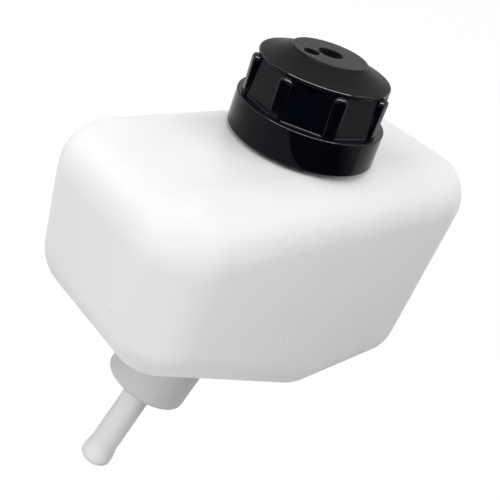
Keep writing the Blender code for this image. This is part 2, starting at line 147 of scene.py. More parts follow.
class Bench:
    """Modelling steps as they are done by hand."""

    @staticmethod
    def pick(*shapes: Shape) -> None:
        """Select these objects alone in object mode, and make the first of them the active one."""
        if bpy.context.object:
            bpy.ops.object.mode_set(mode="OBJECT")
        bpy.ops.object.select_all(action="DESELECT")
        for shape in reversed(shapes):
            shape.select_set(True)
            bpy.context.view_layer.objects.active = shape

    @staticmethod
    def named(name: str) -> Shape:
        """Name the primitive that was just added, and give it back."""
        obj = bpy.context.active_object
        obj.name = name
        obj.data.name = name
        return obj

    @staticmethod
    def trace(name: str, points: Sequence[Vector]) -> Shape:
        """Draw a line of edges through points, and stay in edit mode."""
        bpy.ops.mesh.primitive_plane_add(size=MM)
        obj = Bench.named(name)
        bpy.ops.object.mode_set(mode="EDIT")
        bpy.ops.mesh.select_mode(type="VERT")
        bpy.ops.mesh.select_all(action="SELECT")
        bpy.ops.mesh.merge(type="CENTER")
        bpy.ops.transform.translate(value=points[0])
        for here, there in zip(points, points[1:]):
            bpy.ops.mesh.extrude_vertices_move(TRANSFORM_OT_translate={"value": there - here})
        return obj

    @staticmethod
    def block(name: str, middle: Sequence[float], size: Sequence[float]) -> Shape:
        """Add a box by its middle and its three sizes."""
        bpy.ops.mesh.primitive_cube_add(size=1.0, location=middle, scale=size)
        bpy.ops.object.transform_apply()
        return Bench.named(name)

    @staticmethod
    def weld(distance: float = MERGE_DISTANCE) -> None:
        """Merge the doubles of the mesh in edit mode, with all of it selected."""
        bpy.ops.mesh.select_all(action="SELECT")
        bpy.ops.mesh.remove_doubles(threshold=distance)

    @staticmethod
    def finish_shell(distance: float = MERGE_DISTANCE) -> None:
        """Merge the doubles of the mesh in edit mode, turn its faces outward and leave edit mode."""
        Bench.weld(distance)
        bpy.ops.mesh.normals_make_consistent(inside=False)
        bpy.ops.object.mode_set(mode="OBJECT")

    @staticmethod
    def turned(name: str, profile: Sequence[Point], steps: int = ROUND_STEPS) -> Shape:
        """Spin a profile, which is closed or has both ends on the Z axis, round that axis."""
        obj = Bench.trace(name, [Vector((radius, 0.0, height)) for radius, height in profile])
        bpy.ops.mesh.select_all(action="SELECT")
        bpy.ops.mesh.spin(steps=steps, angle=math.tau, center=(0.0, 0.0, 0.0), axis=(0.0, 0.0, 1.0))
        Bench.finish_shell()
        return obj

    @staticmethod
    def round_edges(obj: Shape, wanted: Test, radius: float, segments: int) -> None:
        """Round the edges of an object whose two ends pass a test together, and stay in edit mode."""
        bpy.ops.object.mode_set(mode="EDIT")
        bpy.ops.mesh.select_mode(type="EDGE")
        bpy.ops.mesh.select_all(action="DESELECT")
        bpy.ops.object.mode_set(mode="OBJECT")
        for edge in obj.data.edges:
            edge.select = wanted(*(obj.data.vertices[index].co for index in edge.vertices))
        bpy.ops.object.mode_set(mode="EDIT")
        bpy.ops.mesh.bevel(offset=radius, segments=segments, affect="EDGES")

    @staticmethod
    def modify(obj: Shape, kind: str, **settings) -> None:
        """Add a modifier of some kind to an object, set its properties by name and apply it."""
        Bench.pick(obj)
        bpy.ops.object.modifier_add(type=kind)
        modifier = obj.modifiers[-1]
        for name, value in settings.items():
            setattr(modifier, name, value)
        bpy.ops.object.modifier_apply(modifier=modifier.name)

    @staticmethod
    def combine(obj: Shape, tool: Shape, how: Join) -> None:
        """Join another closed shape to an object, or cut it away, and use the other shape up."""
        Bench.modify(obj, "BOOLEAN", operation=how.value, solver="EXACT", object=tool)
        Bench.pick(tool)
        bpy.ops.object.delete()

    @staticmethod
    def ring_of_copies(obj: Shape, count: int) -> Shape:
        """Copy an object evenly round the Z axis, and give it back with its copies joined to it."""
        copies = [obj]
        for index in range(1, count):
            Bench.pick(obj)
            bpy.ops.object.duplicate()
            copy = bpy.context.active_object
            copy.rotation_euler.z = math.tau * index / count
            bpy.ops.object.transform_apply()
            copies.append(copy)
        Bench.pick(*copies)
        bpy.ops.object.join()
        return obj

    @staticmethod
    def place(obj: Shape, matrix: Matrix) -> Shape:
        """Move an object's mesh by a matrix and leave its origin at the world's."""
        Bench.pick(obj)
        obj.matrix_world = matrix
        bpy.ops.object.transform_apply()
        return obj

    @staticmethod
    def shade(obj: Shape) -> None:
        """Shade an object smooth up to sharp edges, with its flat faces kept flat."""
        Bench.pick(obj)
        bpy.ops.object.shade_smooth_by_angle(angle=SMOOTH_ANGLE)
        Bench.modify(obj, "WEIGHTED_NORMAL", keep_sharp=True)


@dataclass(frozen=True)
class Thread:
    """A single screw thread, as a ridge that fades out at both of its ends."""

    root: float  # radius at the ridge's foot
    crest: float  # radius at its crest
    crest_width: float
    turns: float
    start: float  # height of its first end
    root_width: float = 2.4 * MM
    pitch: float = THREAD_PITCH
    steps: int = 72  # stretches in one turn
    fade: float = 0.125  # how much of a turn each end fades over

    def build(self, name: str) -> Shape:
        """Sweep the ridge's section along its helix, and give it as a closed solid."""
        section = [(self.root, -self.root_width / 2), (self.crest, -self.crest_width / 2),
                   (self.crest, self.crest_width / 2), (self.root, self.root_width / 2)]
        line = [Vector((radius, 0.0, self.start + height)) for radius, height in section]
        obj = Bench.trace(name, line + line[:1])
        Bench.weld()
        steps = round(self.steps * self.turns)
        Bench.modify(obj, "SCREW", angle=math.tau * self.turns, screw_offset=self.pitch * self.turns,
                     steps=steps, render_steps=steps, use_merge_vertices=False)
        self.fade_ends(obj, len(section))
        bpy.ops.object.mode_set(mode="EDIT")
        bpy.ops.mesh.select_all(action="SELECT")
        bpy.ops.mesh.fill_holes(sides=len(section))
        Bench.finish_shell()
        return obj

    def fade_ends(self, obj: Shape, corners: int) -> None:
        """Sink the crest into the root at both ends of a ridge whose vertices run ring by ring."""
        rings = len(obj.data.vertices) // corners
        span = self.fade * (rings - 1) / self.turns
        for vertex in obj.data.vertices:
            ring = vertex.index // corners
            share = min(1.0, (ring + 0.5) / span, (rings - ring - 0.5) / span)
            radius = vertex.co.xy.length
            faded = self.root + (radius - self.root) * math.sin(share * SQUARE)
            vertex.co.x *= faded / radius
            vertex.co.y *= faded / radius


# Finishes

@dataclass(frozen=True)
class Wander:
    """A level that wanders over a piece between two values."""

    scale: float  # of its noise, in cells a metre
    low: float
    high: float
    detail: float = 3.0


class Nodes:
    """A node tree, and the few nodes that the finishes and the world use."""

    def __init__(self, tree: bpy.types.NodeTree) -> None:
        """Take hold of a tree."""
        self.tree = tree

    def add(self, kind: str, **settings) -> bpy.types.Node:
        """Add a node of some kind and set its properties by name."""
        node = self.tree.nodes.new(kind)
        for name, value in settings.items():
            setattr(node, name, value)
        return node

    def link(self, source: Socket, target: Socket) -> None:
        """Join an output to an input."""
        self.tree.links.new(source, target)

    def ramp(self, source: Socket, low: float, high: float, start: float, end: float,
             smooth: bool = False) -> Socket:
        """Map a value from low..high to start..end, held at both ends.

        Args:
            source: the output that is mapped.
            low: the value that gives start.
            high: the value that gives end.
            start: the result at low.
            end: the result at high.
            smooth: whether the change eases in and out.

        Returns:
            The mapped output.
        """
        node = self.add("ShaderNodeMapRange", interpolation_type="SMOOTHSTEP" if smooth else "LINEAR")
        self.link(source, node.inputs["Value"])
        for name, value in (("From Min", low), ("From Max", high), ("To Min", start), ("To Max", end)):
            node.inputs[name].default_value = value
        return node.outputs["Result"]

    def math(self, operation: str, first: Socket, second: Socket | float) -> Socket:
        """Combine an output with another one or with a number."""
        node = self.add("ShaderNodeMath", operation=operation)
        self.link(first, node.inputs[0])
        if isinstance(second, float):
            node.inputs[1].default_value = second
        else:
            self.link(second, node.inputs[1])
        return node.outputs["Value"]

    def seen_directly(self) -> Socket:
        """Give a share that is one for camera, glossy and transmitted rays, else zero."""
        rays = self.add("ShaderNodeLightPath").outputs
        share = self.math("MAXIMUM", rays["Is Camera Ray"], rays["Is Glossy Ray"])
        return self.math("MAXIMUM", share, rays["Is Transmission Ray"])


class Graph(Nodes):
    """A material's node tree, with its shader and the steps that every finish shares."""

    def __init__(self, name: str) -> None:
        """Make a material of that name and take hold of its nodes."""
        self.material = bpy.data.materials.new(name)
        self.material.use_nodes = True
        super().__init__(self.material.node_tree)
        self.shader = self.tree.nodes["Principled BSDF"]
        self.place = self.add("ShaderNodeTexCoord").outputs["Object"]

    def set(self, **values) -> None:
        """Set the shader's own sockets, named with underscores for spaces."""
        for name, value in values.items():
            self.shader.inputs[name.replace("_", " ")].default_value = value

    def drive(self, socket: str, source: Socket) -> None:
        """Join an output to one of the shader's sockets."""
        self.link(source, self.shader.inputs[socket])

    def noise(self, scale: float, detail: float) -> Socket:
        """Give the value of a noise over the piece, with its scale in cells a metre."""
        node = self.add("ShaderNodeTexNoise")
        self.link(self.place, node.inputs["Vector"])
        node.inputs["Scale"].default_value = scale
        node.inputs["Detail"].default_value = detail
        return node.outputs["Fac"]

    def level(self, wander: Wander, factor: float = 1.0) -> Socket:
        """Give a wandering level, scaled by a factor."""
        noise = self.noise(wander.scale, wander.detail)
        return self.ramp(noise, NOISE_LOW, NOISE_HIGH, wander.low * factor, wander.high * factor)

    def tint(self, colour: Colour, level: Socket) -> None:
        """Give the shader a base colour scaled by a level over the piece."""
        node = self.add("ShaderNodeVectorMath", operation="SCALE")
        node.inputs[0].default_value = colour
        self.link(level, node.inputs["Scale"])
        self.drive("Base Color", node.outputs["Vector"])

    def bump(self, height: Socket, depth: float) -> None:
        """Give the shader a fine relief of that depth in metres."""
        node = self.add("ShaderNodeBump")
        node.inputs["Distance"].default_value = depth
        self.link(height, node.inputs["Height"])
        self.drive("Normal", node.outputs["Normal"])


@dataclass(frozen=True)
class Plastic:
    """What the kinds of moulded plastic share."""

    name: str
    colour: Colour
    roughness: float

    def build(self) -> bpy.types.Material:
        """Make the material."""
        graph = Graph(self.name)
        self.finish(graph)
        return graph.material

    def finish(self, graph: Graph) -> None:
        """Set up the shader, which each kind of plastic does in its own way."""
        raise NotImplementedError


@dataclass(frozen=True)
class MilkyPlastic(Plastic):
    """Unpigmented plastic: white, satin and slightly see-through."""

    scatter: float = 0.55  # share of the light that spreads inside the wall
    spread: float = 6.0 * MM  # how far it spreads
    speck: float = 0.0  # how much darker a speck is
    speck_scale: float = 85.0  # in cells a metre, one speck in each
    speck_edge: Point = (0.02, 0.045)  # from where to where it fades, as shares of a cell
    specular: float = 0.4
    mottle: Wander = Wander(38.0, 0.98, 1.0)
    skin_scale: float = 160.0
    skin_change: float = 0.03  # of the roughness, up and down
    peel_noise: Point = (900.0, 2.0)  # scale in cells a metre, and detail
    peel: float = 0.006 * MM  # depth of the orange-peel skin

    def finish(self, graph: Graph) -> None:
        """Give it a cloudy colour, rare specks and a faint orange-peel skin."""
        cells = graph.add("ShaderNodeTexVoronoi", feature="F1")
        graph.link(graph.place, cells.inputs["Vector"])
        cells.inputs["Scale"].default_value = self.speck_scale
        speck = graph.ramp(cells.outputs["Distance"], *self.speck_edge, 1.0 - self.speck, 1.0, smooth=True)
        graph.tint(self.colour, graph.math("MULTIPLY", graph.level(self.mottle), speck))
        skin = Wander(self.skin_scale, self.roughness - self.skin_change, self.roughness + self.skin_change)
        graph.drive("Roughness", graph.level(skin))
        graph.bump(graph.noise(*self.peel_noise), self.peel)
        graph.set(Subsurface_Weight=self.scatter, Subsurface_Scale=self.spread,
                  Subsurface_Radius=(1.0, 1.0, 1.0), Specular_IOR_Level=self.specular)


@dataclass(frozen=True)
class BlackPlastic(Plastic):
    """Black plastic, polished or satin as its part of the mould was, or a lighter copy that paints light on
    the cap's flat top.
    """

    specular: float
    sheen: float = 0.0
    grain: float = 0.0  # depth of the fine grain
    grain_noise: Point = (2600.0, 2.0)
    waves: float = 0.006 * MM  # depth of the long ripples that bend reflections
    waves_noise: Point = (120.0, 1.0)
    sheen_roughness: float = 0.4
    tone: Wander = Wander(60.0, 0.85, 1.15)
    haze: Wander = Wander(240.0, 0.9, 1.12, 4.0)

    def finish(self, graph: Graph) -> None:
        """Give it a faint haze in the gloss, long ripples and a fine grain."""
        graph.tint(self.colour, graph.level(self.tone))
        graph.drive("Roughness", graph.level(self.haze, self.roughness))
        fine = graph.math("MULTIPLY", graph.noise(*self.grain_noise), self.grain)
        slow = graph.math("MULTIPLY", graph.noise(*self.waves_noise), self.waves)
        graph.bump(graph.math("ADD", fine, slow), 1.0)
        graph.set(Specular_IOR_Level=self.specular, Sheen_Weight=self.sheen,
                  Sheen_Roughness=self.sheen_roughness)


@dataclass(frozen=True)
class PlainPlastic(Plastic):
    """A small inner part's surface: one colour, faintly uneven, matt or satin."""

    specular: float = 0.5
    grain: float = 0.02 * MM  # depth of the surface's grain
    scatter: float = 0.0
    spread: float = 2.0 * MM
    spread_radius: Colour = (1.0, 0.9, 0.8)
    grain_noise: Point = (1800.0, 3.0)
    tone: Wander = Wander(90.0, 0.9, 1.08)
    skin: Wander = Wander(300.0, 0.9, 1.1)

    def finish(self, graph: Graph) -> None:
        """Give it an uneven colour and gloss and a fine grain."""
        graph.tint(self.colour, graph.level(self.tone))
        graph.drive("Roughness", graph.level(self.skin, self.roughness))
        graph.bump(graph.noise(*self.grain_noise), self.grain)
        graph.set(Specular_IOR_Level=self.specular, Subsurface_Weight=self.scatter,
                  Subsurface_Scale=self.spread, Subsurface_Radius=self.spread_radius)


# Pieces

@dataclass
class Piece:
    """One separate piece of the reservoir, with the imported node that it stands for."""

    neck: Vector

    def dress(self, obj: Shape, node: str, body: Body, slot: str, *finishes: Plastic) -> Shape:
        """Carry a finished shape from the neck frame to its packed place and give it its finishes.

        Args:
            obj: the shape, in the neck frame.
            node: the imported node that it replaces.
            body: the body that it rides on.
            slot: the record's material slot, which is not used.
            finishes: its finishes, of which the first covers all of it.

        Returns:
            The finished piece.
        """
        Bench.place(obj, Matrix.Translation(self.neck))
        Bench.shade(obj)
        obj.data.materials.clear()
        for finish in finishes:
            obj.data.materials.append(finish.build())
        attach(obj, body.value)
        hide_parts(node)
        return obj


@dataclass
class Tank(Piece):
    """The tank: a blown box with a sloping floor, a threaded neck, a boss and a hose spigot."""

    left: float = 76.0 * MM
    right: float = 75.0 * MM
    depth: float = 74.0 * MM
    left_height: float = 58.0 * MM
    sump_height: float = 95.0 * MM
    sump_start: float = 5.0 * MM
    draft: float = math.radians(3.5)
    corner: float = 18.0 * MM
    wall: float = 2.5 * MM
    bore: float = 16.5 * MM
    neck_wall: float = 2.5 * MM
    neck_root: float = 0.8 * MM  # fillet between the neck and the top face
    neck_root_sink: float = 0.02 * MM  # how far the fillet's foot lies under the top face
    rim_edge: float = 0.5 * MM
    seat_width: float = 1.1 * MM
    seat_depth: float = 2.0 * MM
    seat_edge: float = 0.2 * MM
    root_sink: float = 1.2 * MM  # how far the neck and the boss reach into the wall
    outlet_offset: float = 28.6 * MM
    boss: float = 16.0 * MM
    boss_length: float = 24.0 * MM
    boss_edge: float = 2.2 * MM
    boss_wall: float = 2.8 * MM
    boss_start: float = 0.05 * MM  # where the boss's darker copy of the plastic, with painted shade, begins just past the floor
    spigot: float = 5.4 * MM
    spigot_length: float = 37.5 * MM
    spigot_wall: float = 2.1 * MM
    spigot_root: float = 1.2 * MM
    spigot_mouth: float = 0.6 * MM
    bead: float = 0.75 * MM
    bead_length: float = 8.0 * MM
    bead_foot: float = 10.0 * MM  # rounding where the spigot begins to swell
    bead_shoulder: float = 6.0 * MM
    bead_end: float = 2.4 * MM
    turns: float = 1.75
    thread_depth: float = 1.3 * MM
    thread_sink: float = 0.6 * MM
    thread_from_rim: float = 3.0 * MM
    arc_step: float = math.radians(3.75)
    finish: MilkyPlastic = MilkyPlastic("milky_tank_plastic", (0.875, 0.876, 0.881), 0.36, speck=0.25)
    # Painted shade: the boss is a darker grey copy of the tank's plastic, for the shade it lies in.
    boss_painted_shade_finish: MilkyPlastic = MilkyPlastic("milky_boss_plastic_painted_shade", (0.625, 0.616, 0.628), 0.4)
    # Painted shade: the spigot is a slightly darker copy of the tank's plastic, which also scatters more
    # light.
    spigot_painted_shade_finish: MilkyPlastic = MilkyPlastic(
        "milky_spigot_plastic_painted_shade", (0.86, 0.85, 0.865), 0.36, 1.0, 5.0 * MM)

    @property
    def slope(self) -> float:
        """How steeply the left part of the floor falls towards the sump."""
        return math.atan2(self.sump_height - self.left_height, self.left + self.sump_start)

    def corners(self, inset: float) -> list[Bend]:
        """Give the corners of the tank's side outline, with every side moved in by an inset."""
        foot = self.right - self.sump_height * math.tan(self.draft)
        outer = [Vector(corner) for corner in (
            (-self.left, 0.0), (self.right, 0.0), (foot, -self.sump_height),
            (self.sump_start, -self.sump_height), (-self.left, -self.left_height))]
        moved = []
        for index, here in enumerate(outer):
            back = (outer[index - 1] - here).normalized()
            ahead = (outer[(index + 1) % len(outer)] - here).normalized()
            reach = inset / math.sin(back.angle(ahead) / 2)
            place = here + (back + ahead).normalized() * reach
            moved.append((place.x, place.y, self.corner - inset))
        return moved

    def rounded_box(self, name: str, inset: float) -> Shape:
        """Make the tank's outer form, or its hollow when it is moved in by the wall.

        Args:
            name: the new object's name.
            inset: how far the form lies inside the outer one.

        Returns:
            The closed form.
        """
        half = self.depth / 2 - inset
        outline = rounded(self.corners(inset), closed=True, step=self.arc_step)
        obj = Bench.trace(name, [Vector((x, -half, z)) for x, z in outline])
        Bench.weld()
        bpy.ops.mesh.edge_face_add()
        bpy.ops.mesh.extrude_region_move(TRANSFORM_OT_translate={"value": (0.0, 2 * half, 0.0)})
        Bench.finish_shell()
        Bench.round_edges(obj, lambda a, b: abs(a.y - b.y) < MERGE_DISTANCE,
                          self.corner - inset - SPARE, round(SQUARE / self.arc_step))
        Bench.finish_shell(2 * SPARE)
        return obj

    def outlet_place(self) -> Matrix:
        """Frame on the sloping floor, with Z square to it and pointing out of the tank."""
        drop = (self.left - self.outlet_offset) * math.tan(self.slope)
        origin = Vector((-self.outlet_offset, 0.0, -self.left_height - drop))
        return Matrix.Translation(origin) @ Matrix.Rotation(math.pi + self.slope, 4, "Y")

    def outlet_profile(self) -> list[Point]:
        """Boss, spigot and end bead as a profile with soft edges."""
        end = self.boss_length + self.spigot_length
        swell = self.spigot + self.bead
        return rounded([
            (0.0, -self.root_sink), (self.boss, -self.root_sink),
            (self.boss, self.boss_length, self.boss_edge),
            (self.spigot, self.boss_length, self.spigot_root),
            (self.spigot, end - self.bead_length, self.bead_foot),
            (swell, end - self.bead_length / 2, self.bead_shoulder), (swell, end, self.bead_end),
            (0.0, end)])

    def outlet_hollow(self) -> list[Point]:
        """Pocket of the boss and bore of the spigot."""
        end = self.boss_length + self.spigot_length
        pocket = self.boss - self.boss_wall
        tube = self.spigot - self.spigot_wall
        floor = self.boss_length - self.boss_wall
        return rounded([
            (0.0, -CUT_MARGIN), (pocket, -CUT_MARGIN), (pocket, floor, self.boss_edge),
            (tube, floor, self.spigot_root), (tube, end - self.spigot_mouth, self.spigot_mouth),
            (tube + self.spigot_mouth, end), (tube + self.spigot_mouth, end + CUT_MARGIN),
            (0.0, end + CUT_MARGIN)])

    def neck_profile(self) -> list[Point]:
        """Outside of the neck, with its root fillet and a softened rim."""
        outer = self.bore + self.neck_wall
        foot = outer + 2 * self.neck_root
        return rounded([
            (0.0, -self.root_sink), (foot, -self.root_sink), (foot, -self.neck_root_sink),
            (outer, 0.0, self.neck_root), (outer, NECK_HEIGHT, self.rim_edge), (0.0, NECK_HEIGHT)])

    def neck_hollow(self) -> list[Point]:
        """Bore of the neck, with the step that carries the strainer."""
        seat = self.bore + self.seat_width
        seat_height = NECK_HEIGHT - self.seat_depth
        return rounded([
            (0.0, -CUT_MARGIN), (self.bore, -CUT_MARGIN), (self.bore, seat_height),
            (seat, seat_height, self.seat_edge), (seat, NECK_HEIGHT + CUT_MARGIN),
            (0.0, NECK_HEIGHT + CUT_MARGIN)])

    def thread(self) -> Thread:
        """The neck's thread, which ends a little under its rim."""
        outer = self.bore + self.neck_wall
        return Thread(root=outer - self.thread_sink, crest=outer + self.thread_depth,
                      crest_width=1.0 * MM, turns=self.turns,
                      start=NECK_HEIGHT - self.thread_from_rim - THREAD_PITCH * self.turns)

    def build(self) -> Shape:
        """Model the tank and put it in its place."""
        tank = self.rounded_box("tank_moulding", 0.0)
        Bench.combine(tank, Bench.turned("neck_form", self.neck_profile()), Join.ADD)
        Bench.combine(tank, self.thread().build("neck_thread"), Join.ADD)
        outlet = Bench.place(Bench.turned("outlet_form", self.outlet_profile()), self.outlet_place())
        Bench.combine(tank, outlet, Join.ADD)
        Bench.combine(tank, self.rounded_box("tank_hollow", self.wall), Join.CUT)
        Bench.combine(tank, Bench.turned("neck_bore", self.neck_hollow()), Join.CUT)
        bore = Bench.place(Bench.turned("outlet_bore", self.outlet_hollow()), self.outlet_place())
        Bench.combine(tank, bore, Join.CUT)
        self.dress(tank, "reservoir_tank", Body.TANK, "tank_plastic",
                   self.finish, self.boss_painted_shade_finish, self.spigot_painted_shade_finish)
        # Faces past the floor take the boss's or the spigot's copy of the plastic, whose darker colour is
        # painted shade.
        to_outlet = (Matrix.Translation(self.neck) @ self.outlet_place()).inverted()
        for face in tank.data.polygons:
            place = to_outlet @ face.center
            if place.z > self.boss_start:
                face.material_index = 1 if place.xy.length > self.spigot + self.spigot_root else 2
        return tank


@dataclass
class Strainer(Piece):
    """The filler strainer: a slotted nylon basket that hangs by its flange in the neck."""

    top: float = 20.6 * MM
    flange: float = 1.3 * MM
    flange_radius: float = 17.3 * MM
    head: float = 16.0 * MM
    foot: float = 13.0 * MM
    depth: float = 42.0 * MM
    wall: float = 1.2 * MM
    slots: int = 16
    rows: int = 2
    slot_width: float = 1.6 * MM
    slot_height: float = 12.0 * MM
    slot_pitch: float = 16.0 * MM
    slot_margin: float = 4.0 * MM
    slot_rounding: float = 0.49  # of its ends, as a share of its width
    slot_segments: int = 4
    clocking: float = math.radians(5.6)
    edge: float = 0.3 * MM
    floor_edge: float = 1.0 * MM
    floor_inner_edge: float = 0.6 * MM
    finish: PlainPlastic = PlainPlastic("strainer_nylon", (0.72, 0.73, 0.69), 0.5, scatter=0.2)

    def basket(self) -> list[Point]:
        """Section of the flange and the tapered basket."""
        base = self.top - self.flange
        floor = base - self.depth
        return rounded([
            (0.0, floor), (self.foot, floor, self.floor_edge), (self.head, base, self.edge),
            (self.flange_radius, base, self.edge), (self.flange_radius, self.top, self.edge),
            (self.head - self.wall, self.top, self.edge),
            (self.foot - self.wall, floor + self.wall, self.floor_inner_edge), (0.0, floor + self.wall)])

    def slot_row(self, height: float) -> Shape:
        """Cutter for one level row of round-ended slots, with its middle at that height."""
        slot = Bench.block("strainer_slot", ((self.foot + self.head) / 2, 0.0, height),
                           (2 * CUT_MARGIN, self.slot_width, self.slot_height))
        Bench.round_edges(slot, lambda a, b: abs(a.x - b.x) > CUT_MARGIN,
                          self.slot_rounding * self.slot_width, self.slot_segments)
        Bench.place(slot, Matrix.Rotation(self.clocking, 4, "Z"))
        return Bench.ring_of_copies(slot, self.slots)

    def build(self) -> Shape:
        """Model the strainer and put it in its place."""
        strainer = Bench.turned("strainer_basket", self.basket())
        lowest = self.top - self.flange - self.depth + self.slot_margin + self.slot_height / 2
        for row in range(self.rows):
            Bench.combine(strainer, self.slot_row(lowest + row * self.slot_pitch), Join.CUT)
        return self.dress(strainer, "filler_strainer", Body.TANK, "strainer_plastic", self.finish)


@dataclass
class Bellows(Piece):
    """The bellows diaphragm: a rubber cup with folded sides under a sealing flange."""

    base: float = 21.3 * MM
    flange: float = 1.5 * MM
    rim: float = 19.0 * MM
    ridge: float = 13.04 * MM
    wall: float = 1.1 * MM
    edge: float = 0.35 * MM
    folds: int = 3
    fold_height: float = 3.6 * MM
    fold_depth: float = 1.9 * MM
    tail: float = 1.8 * MM
    fold_steps: int = 16
    finish: PlainPlastic = PlainPlastic("diaphragm_rubber", (0.012, 0.012, 0.013), 0.62, 0.3, 0.03 * MM)

    def side(self, offset: float) -> list[Point]:
        """Give the folded side from the flange down, offset inward from the outer side."""
        points = []
        for step in range(self.folds * self.fold_steps + 1):
            share = step / self.fold_steps
            inset = self.fold_depth * (1.0 - math.cos(math.tau * share)) / 2
            points.append((self.ridge - offset - inset, self.base - share * self.fold_height))
        return points

    def build(self) -> Shape:
        """Model the diaphragm and put it in its place."""
        floor = self.base - self.folds * self.fold_height - self.tail
        inner = self.ridge - self.wall
        top = self.base + self.flange
        start = rounded([(0.0, floor), (self.ridge, floor, self.wall),
                         (self.ridge, floor + 2 * self.wall)])[:-1]
        brim = rounded([(self.ridge, self.base), (self.rim, self.base, self.edge),
                        (self.rim, top, self.edge), (inner, top, self.edge),
                        (inner, self.base)])[1:-1]
        finish = rounded([(inner, floor + 2 * self.wall), (inner, floor + self.wall, self.edge),
                          (0.0, floor + self.wall)])[1:]
        profile = start + self.side(0.0)[::-1] + brim + self.side(self.wall)[1:] + finish
        rubber = Bench.turned("bellows_cup", profile)
        return self.dress(rubber, "bellows_diaphragm", Body.BELLOWS, "rubber", self.finish)


@dataclass
class SlipPlate(Piece):
    """The slip plate: a ring that lets the cap turn on the rubber without twisting it."""

    base: float = 23.1 * MM
    thickness: float = 1.5 * MM
    rim: float = 20.35 * MM
    bore: float = 8.5 * MM
    collar_wall: float = 1.2 * MM
    collar_depth: float = 2.4 * MM
    edge: float = 0.3 * MM
    finish: PlainPlastic = PlainPlastic("plate_acetal", (0.03, 0.03, 0.032), 0.38, 0.4)

    def build(self) -> Shape:
        """Model the ring and put it in its place."""
        top = self.base + self.thickness
        collar = self.bore + self.collar_wall
        foot = self.base - self.collar_depth
        outline = ((self.bore, top), (self.rim, top), (self.rim, self.base),
                   (collar, self.base), (collar, foot), (self.bore, foot))
        profile = rounded([(radius, height, self.edge) for radius, height in outline], closed=True)
        plate = Bench.turned("slip_ring", profile)
        return self.dress(plate, "slip_plate", Body.PLATE, "plate_plastic", self.finish)


